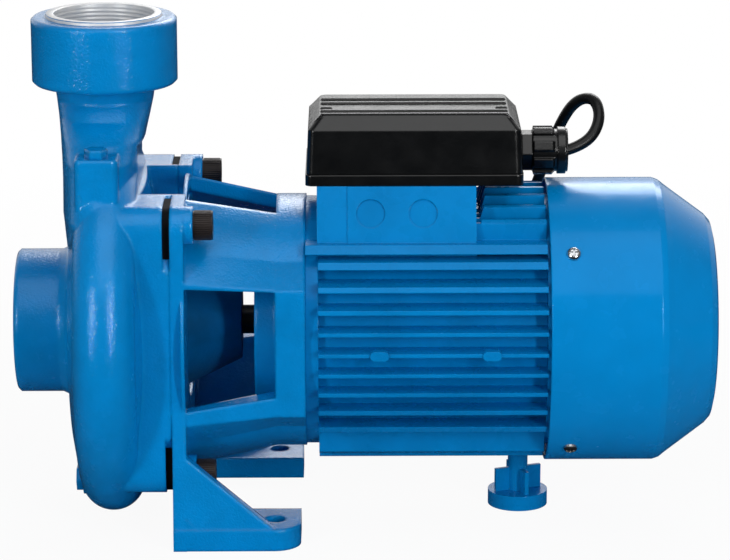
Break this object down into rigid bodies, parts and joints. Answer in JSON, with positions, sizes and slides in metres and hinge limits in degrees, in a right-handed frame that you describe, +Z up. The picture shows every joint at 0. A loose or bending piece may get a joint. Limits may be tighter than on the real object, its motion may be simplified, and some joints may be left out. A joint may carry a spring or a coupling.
{
  "type": "centrifugal surface pump",
  "caption": "Close-coupled electric centrifugal surface pump with threaded suction and discharge ports, lantern bracket, finned motor, terminal box and supply lead.",
  "frame": {"origin": "midway between the two foot-bolt holes, on the floor the feet stand on", "axes": "+X along the shaft from the suction port towards the fan, +Z up along the discharge port, +Y to complete the right-handed set"},
  "size_m": [0.3962, 0.3039, 0.2898],
  "materials": {
    "cast_paint": "gloss enamel on cast iron",
    "motor_paint": "gloss enamel on aluminium",
    "cover_paint": "gloss enamel on sheet steel",
    "cast_iron": "as cast",
    "steel": "machined",
    "brass": "cast and turned",
    "black_bolt": "black oxide",
    "chrome": "plated",
    "seal": "rubber and carbon",
    "fan_plastic": "moulded",
    "box_plastic": "moulded, satin",
    "cable_rubber": "matt rubber sheath"
  },
  "bodies": {
    "pump_body": {"volute_casing": "cast_paint", "drain_plug": "cast_paint", "priming_plug": "cast_paint", "seal_housing": "cast_paint", "lantern_bracket": "cast_paint", "casing_bolt_1": "black_bolt", "casing_bolt_2": "black_bolt", "casing_bolt_3": "black_bolt", "casing_bolt_4": "black_bolt", "motor_housing": "motor_paint", "rear_end_shield": "motor_paint", "fan_cover": "cover_paint", "fan_cover_screw_1": "chrome", "fan_cover_screw_2": "chrome", "fan_cover_screw_3": "chrome", "fan_cover_screw_4": "chrome", "terminal_box_base": "box_plastic", "terminal_box_lid": "box_plastic", "gland_body": "box_plastic", "gland_nut": "box_plastic", "rear_foot": "motor_paint", "supply_cable": "cable_rubber", "cable_coil": "cable_rubber", "cable_tail": "cable_rubber", "cable_plug": "cable_rubber"},
    "rotor": {"pump_shaft": "steel", "impeller": "brass", "impeller_nut": "steel", "shaft_seal": "seal", "cooling_fan": "fan_plastic"}
  },
  "joints": [
    {"name": "rotor_spin", "type": "hinge", "parent": "pump_body", "child": "rotor", "pos_m": [-0.066, 0, 0.1111], "axis": [1, 0, 0], "continuous": true}
  ]
}
